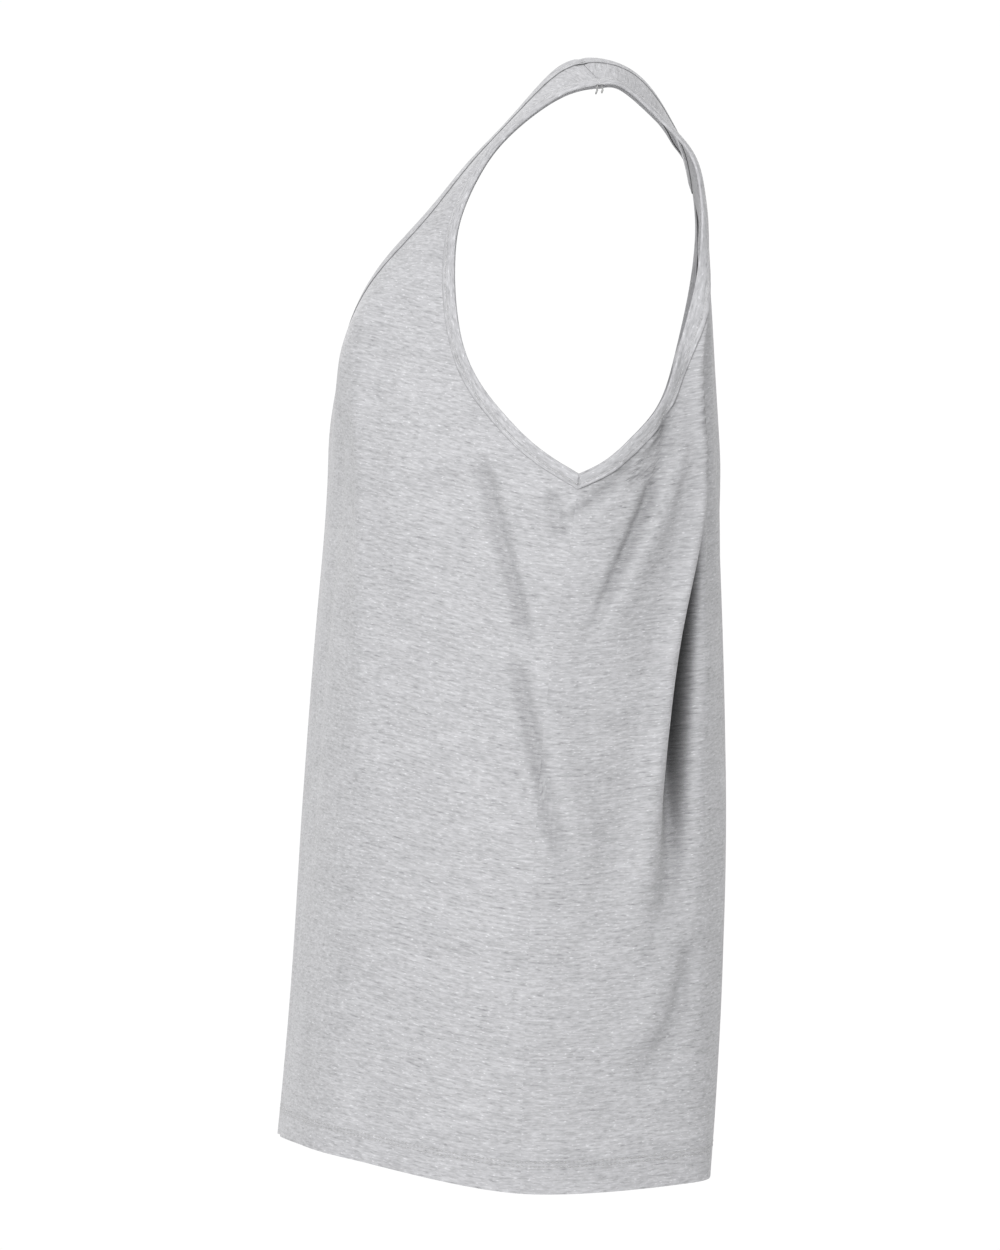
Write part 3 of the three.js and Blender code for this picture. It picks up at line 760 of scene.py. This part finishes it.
def hem_rows(out):
    ring = np.linspace(-2, 2, HEM_PLACES, endpoint=False)
    return [row_at(ring, np.full(HEM_PLACES, up / RISE_LENGTH), out, HEM_SPACING) for up in HEM_ROWS]


def binding_row(edge):
    ring = edge.ring + edge.d_ring * STITCH_DEPTH
    rise = edge.rise + edge.d_rise * STITCH_DEPTH
    top = seam_height(edge, STITCH_DEPTH, SEAM_HALF) - CLOTH / 2 + BINDING_LIFT
    return stitch_row(edge.at(STITCH_DEPTH, top), normal_of(folded, ring, rise), BINDING_SPACING)


hem_stitches = stitches("stitches_hem", hem_rows(HEM_OUTSIDE), HEM_STITCH, THREAD_RADIUS, yarn)
hem_inside = stitches("stitches_hem_inside", hem_rows(HEM_INSIDE), HEM_STITCH_INSIDE, THREAD_RADIUS, yarn)
rows = [binding_row(edge) for edge in edges.values()]
binding_stitches = stitches("stitches_bindings", rows, BINDING_STITCH, THREAD_RADIUS, yarn)

# Inside, each side and shoulder seam has its allowance turned to the back and oversewn.
ALLOWANCE = 6.5
ALLOWANCE_HEIGHTS = -CLOTH - 1.2, -CLOTH - 0.1
SIDE_PLACES, SHOULDER_PLACES = 150, 24
SIDE_START, SIDE_END = (HEM_DEPTH + 3) / RISE_LENGTH, UNDERARM - 0.002
SHOULDER_RINGS = 2 - 0.575, 2 - NECK_RING - 0.02
SHOULDER_TOP = 0.9995
OVERSEWN_HEIGHT = -CLOTH - 1.25
OVERSEWN_SHARE = 0.7  # how far across the allowance the oversewing lies
OVERSEWN_SPACING, OVERSEWN_LENGTH, OVERSEWN_RADIUS = 2.1, 4.6, 0.17
OVERSEWN_SLANT = 1.4


def side_allowance(side, sign):
    """A side seam's strip and its row of oversewing."""
    rise = np.linspace(SIDE_START, SIDE_END, SIDE_PLACES)
    width = ALLOWANCE / RING_LENGTH
    rings = [np.full(SIDE_PLACES, sign * (1 + width * share)) for share in (0, 1, OVERSEWN_SHARE)]
    seam = (rings[0], rise), (rings[1], rise)
    strip = ribbon(f"allowance_side_{side}", *seam, *ALLOWANCE_HEIGHTS, cloth)
    return strip, row_at(rings[2], rise, OVERSEWN_HEIGHT, OVERSEWN_SPACING, False)


def shoulder_allowance(side, sign):
    """A shoulder seam's strip and its row of oversewing."""
    ring = sign * np.linspace(*SHOULDER_RINGS, SHOULDER_PLACES)
    low = np.full(SHOULDER_PLACES, 1 - ALLOWANCE / RISE_LENGTH)
    seam = (ring, np.full(SHOULDER_PLACES, SHOULDER_TOP)), (ring, low)
    strip = ribbon(f"allowance_shoulder_{side}", *seam, *ALLOWANCE_HEIGHTS, cloth)
    middle = 1 - OVERSEWN_SHARE * (1 - low)
    return strip, row_at(ring, middle, OVERSEWN_HEIGHT, OVERSEWN_SPACING, False)


allowances, rows = zip(*[
    make(side, sign)
    for side, sign in (("left", 1), ("right", -1))
    for make in (side_allowance, shoulder_allowance)
])
crossing = [(m, unit(r + unit(np.cross(n, r)) * OVERSEWN_SLANT), n) for m, r, n in rows]
oversewing = stitches("stitches_oversewn", crossing, OVERSEWN_LENGTH, OVERSEWN_RADIUS, yarn)

# Two short ends of thread hang from the left shoulder seam, at the armhole.
armhole = edges["binding_armhole_left"]
shoulder_point = armhole.at(BINDING_WIDTH, -CLOTH / 2)[np.argmin(np.abs(armhole.rise - 1))]
TAIL_RADII = (0.45, 0.62, 0.7, 0.75, 0.4)
TAIL_SIDE = (0, 1, 0.2)  # a direction that neither end runs along
TAILS = [  # each end's start from the seam's end, then how far each next point lies from that start
    ((0.3, -1.6, 0.2), (0.6, -0.4, -1.8), (0.9, -0.2, -3.6), (1.0, -0.9, -5.2), (0.8, -1.2, -6.3)),
    ((0.4, 0.9, 0.1), (0.7, 0.6, -1.9), (1.2, 0.9, -3.4), (1.5, 0.3, -4.7), (1.4, 0.5, -5.6)),
]
for number, (first, *more) in enumerate(TAILS, 1):
    path = shoulder_point + first + np.array([(0, 0, 0), *more])
    run = unit(np.gradient(path, axis=0))
    sideways = unit(np.cross(run, TAIL_SIDE))
    upright = unit(np.cross(run, sideways))
    line_of_tube = path[None], sideways[None], upright[None]
    tube(*line_of_tube, TAIL_RADII, dark_yarn, f"thread_end_{number}")

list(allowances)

# The setting: a plain pale floor well below, a pale room, white behind the garment, and soft lights.
ROOM_LEVEL = 0.88
BACKDROP_LEVEL = 1.02
DARK_SHARE = 0.85  # how much less light comes from behind the garment's back
BACKDROP_SPAN, DARK_SPAN = (0.8, 0.97), (0.45, 0.95)  # cosines of the angles between which they come in
world = bpy.data.worlds.new("pale_room")
world.use_nodes = True
tree = world.node_tree
direction = tree.nodes.new("ShaderNodeTexCoord").outputs["Generated"]


def toward(axis, span, first, last):
    """A level that goes smoothly from first to last as the direction nears an axis."""
    dot = tree.nodes.new("ShaderNodeVectorMath")
    dot.operation = "DOT_PRODUCT"
    dot.inputs[1].default_value = axis
    tree.links.new(direction, dot.inputs[0])
    ramp = tree.nodes.new("ShaderNodeMapRange")
    ramp.interpolation_type = "SMOOTHSTEP"
    levels = {"From Min": span[0], "From Max": span[1], "To Min": first, "To Max": last}
    for socket, value in levels.items():
        ramp.inputs[socket].default_value = value
    tree.links.new(dot.outputs["Value"], ramp.inputs["Value"])
    return ramp.outputs["Result"]


level = tree.nodes.new("ShaderNodeMath")
level.operation = "MULTIPLY"
tree.links.new(toward((-1, 0, 0), BACKDROP_SPAN, ROOM_LEVEL, BACKDROP_LEVEL), level.inputs[0])
tree.links.new(toward((0, 1, 0), DARK_SPAN, 1, 1 - DARK_SHARE), level.inputs[1])
background = tree.nodes["Background"]
background.inputs["Color"].default_value = (1, 1, 1, 1)
tree.links.new(level.outputs[0], background.inputs["Strength"])
bpy.context.scene.world = world
bpy.context.scene.view_settings.view_transform = "Standard"


def soft_light(name, place, size, power):
    """A round soft light at a place in metres, turned to the garment's middle."""
    light = bpy.data.lights.new(name, "AREA")
    light.shape, light.size, light.energy = "DISK", size, power
    lamp = bpy.data.objects.new(name, light)
    bpy.context.scene.collection.objects.link(lamp)
    lamp.location = place
    lamp.rotation_euler = (AIM - Vector(place)).to_track_quat("-Z", "Y").to_euler()


# Camera: a long lens on the wearer's left, a little above the middle and tilted down to it.
PIXEL = 0.665  # millimetres at the garment's middle
IMAGE_HEIGHT = 1250
AIM = Vector((0, -61.2, -367.7)) * MM
CAMERA_PLACE = Vector((20000, -61.2, -151.6)) * MM
camera = bpy.data.objects.new("camera", bpy.data.cameras.new("camera"))
bpy.context.scene.collection.objects.link(camera)
camera.location = CAMERA_PLACE
camera.rotation_euler = (AIM - CAMERA_PLACE).to_track_quat("-Z", "Y").to_euler()
camera.data.sensor_width = 36
camera.data.lens = camera.data.sensor_width * (AIM - CAMERA_PLACE).length / (IMAGE_HEIGHT * PIXEL * MM)
camera.data.clip_end = 100
bpy.context.scene.camera = camera

soft_light("key_light", place=(3.4, 0.0, 2.0), size=1.4, power=79)
soft_light("front_light", place=(0.9, -3.3, 1.2), size=1.4, power=4)
soft_light("far_side_light", place=(-3.0, -0.4, 1.2), size=1.6, power=20)

FLOOR_LEVEL = -1.35
FLOOR_RADIUS = 4
FLOOR_SIDES = 96
turn = np.linspace(0, 2 * math.pi, FLOOR_SIDES, endpoint=False)
floor_mesh = bpy.data.meshes.new("pale_floor")
rim = [(FLOOR_RADIUS * math.cos(a), FLOOR_RADIUS * math.sin(a), FLOOR_LEVEL) for a in turn]
floor_mesh.from_pydata(rim, [], [tuple(range(len(rim)))])
floor_mesh.materials.append(plain("matt_floor", 40.0, 234, 237, 0.9))
floor = bpy.data.objects.new("pale_floor", floor_mesh)
bpy.context.scene.collection.objects.link(floor)
